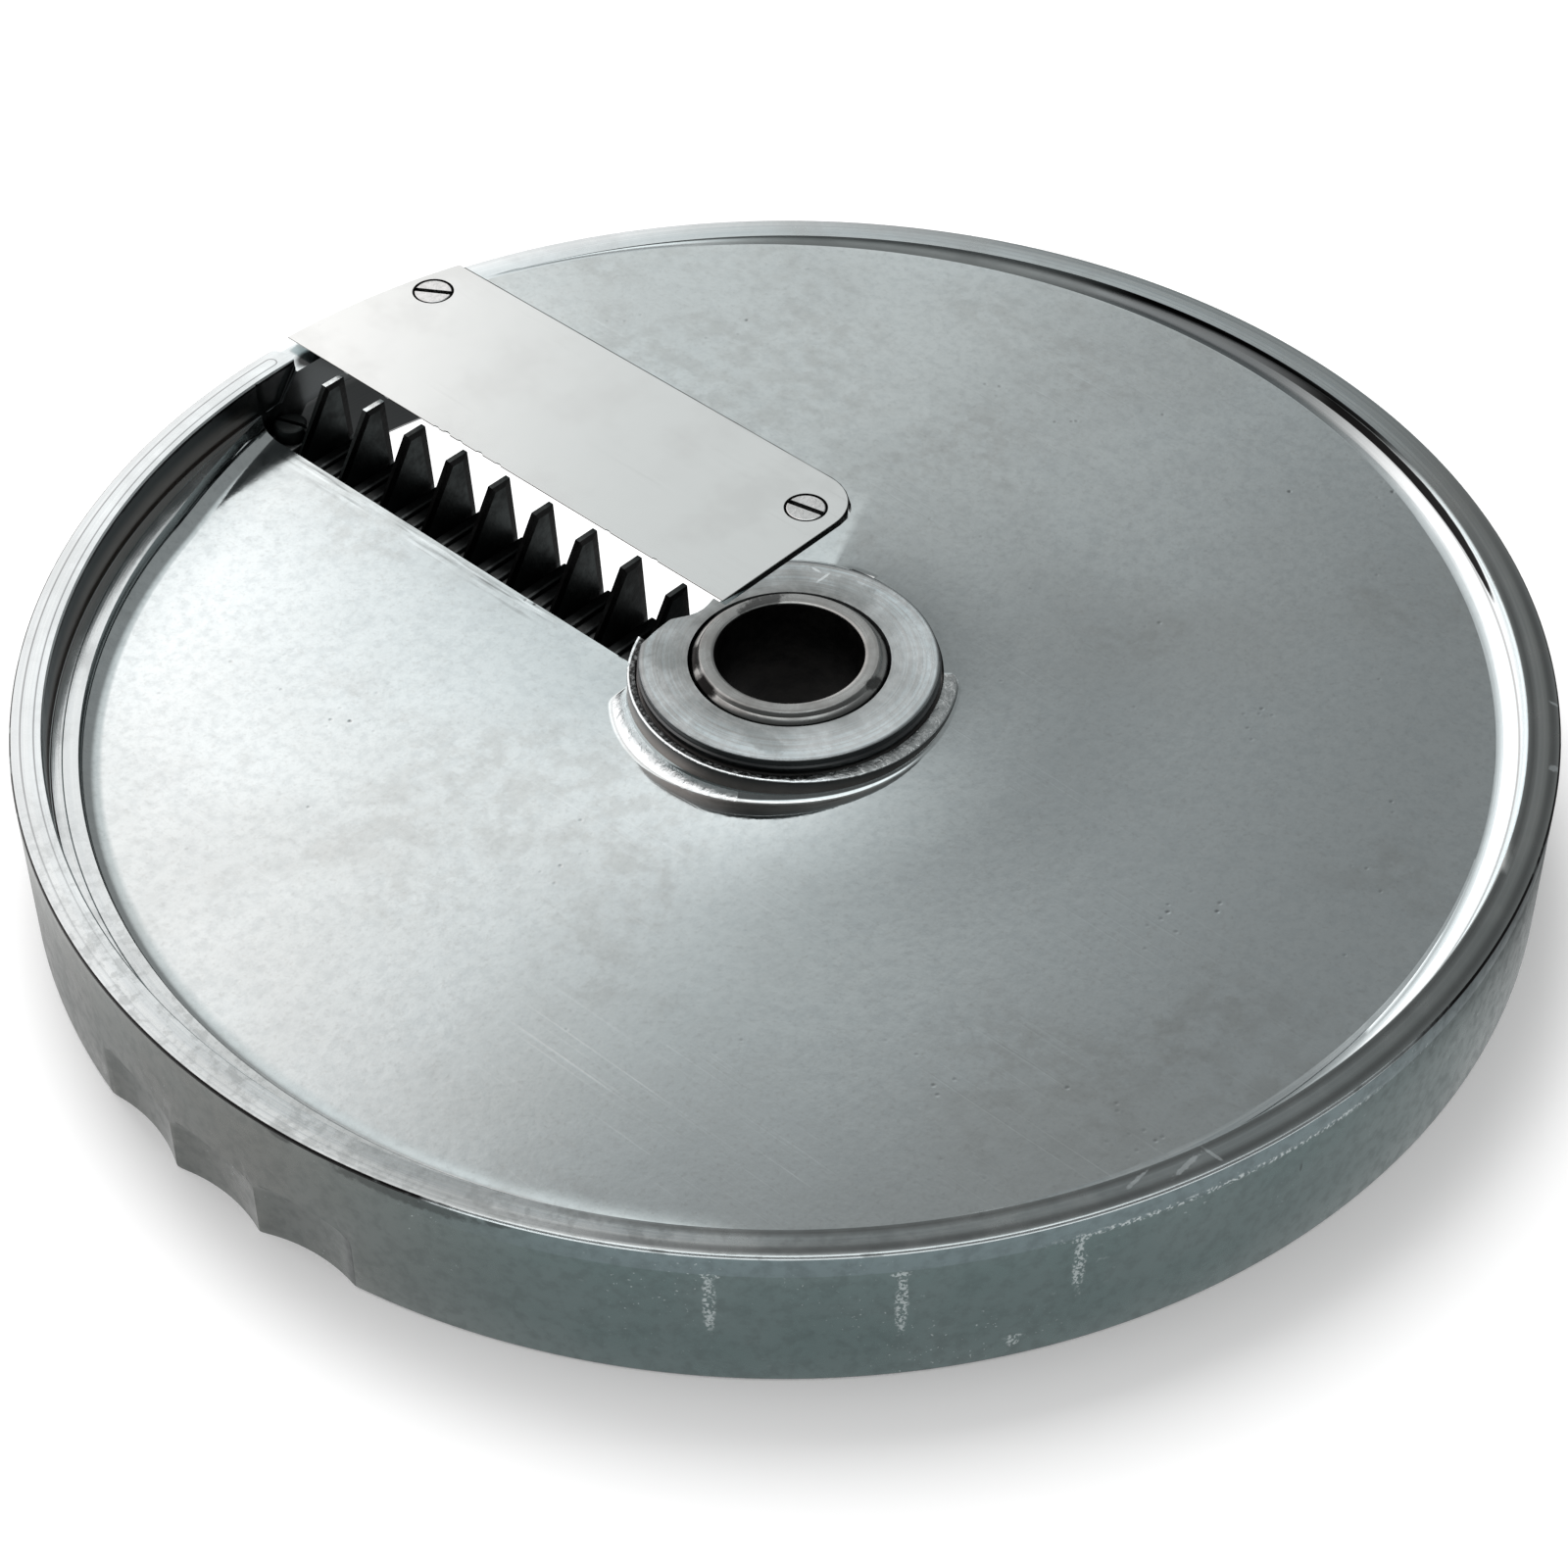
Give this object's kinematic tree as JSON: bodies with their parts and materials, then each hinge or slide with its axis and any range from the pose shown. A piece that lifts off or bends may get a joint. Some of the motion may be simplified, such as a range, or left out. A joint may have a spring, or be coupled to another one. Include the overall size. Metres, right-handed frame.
{
  "type": "julienne disc",
  "caption": "Cast cutting disc with a helical plate, a flush slicing blade and a comb of upright teeth that cuts food into strips, turned on a shaft through its hub.",
  "frame": {"origin": "on the axis of the disc, at the bottom of the skirt, where the disc stands", "axes": "+Z is the axis of the disc, upwards; +X points outwards along the blade; the edge cuts towards +Y"},
  "size_m": [0.1906, 0.19, 0.0219],
  "materials": {
    "disc_casting": "cast and turned, satin, lightly worn",
    "hub_bush": "turned steel, dull brown grey",
    "blade": "fine ground steel",
    "blade_screws": "ground flush with the blade",
    "comb_teeth": "dark steel with ground edges",
    "comb_base": "dark steel"
  },
  "bodies": {
    "root": {"disc_body": "disc_casting", "hub_bush": "hub_bush", "slicing_blade": "blade", "blade_screw_outer": "blade_screws", "blade_screw_inner": "blade_screws", "comb_tooth_1": "comb_teeth", "comb_tooth_2": "comb_teeth", "comb_tooth_3": "comb_teeth", "comb_tooth_4": "comb_teeth", "comb_tooth_5": "comb_teeth", "comb_tooth_6": "comb_teeth", "comb_tooth_7": "comb_teeth", "comb_tooth_8": "comb_teeth", "comb_tooth_9": "comb_teeth", "comb_spacer_1": "comb_base", "comb_spacer_2": "comb_base", "comb_spacer_3": "comb_base", "comb_spacer_4": "comb_base", "comb_spacer_5": "comb_base", "comb_spacer_6": "comb_base", "comb_spacer_7": "comb_base", "comb_spacer_8": "comb_base", "comb_block_inner": "comb_base", "comb_block_outer": "comb_base", "comb_rod": "comb_base", "comb_screw": "comb_base"}
  },
  "joints": []
}
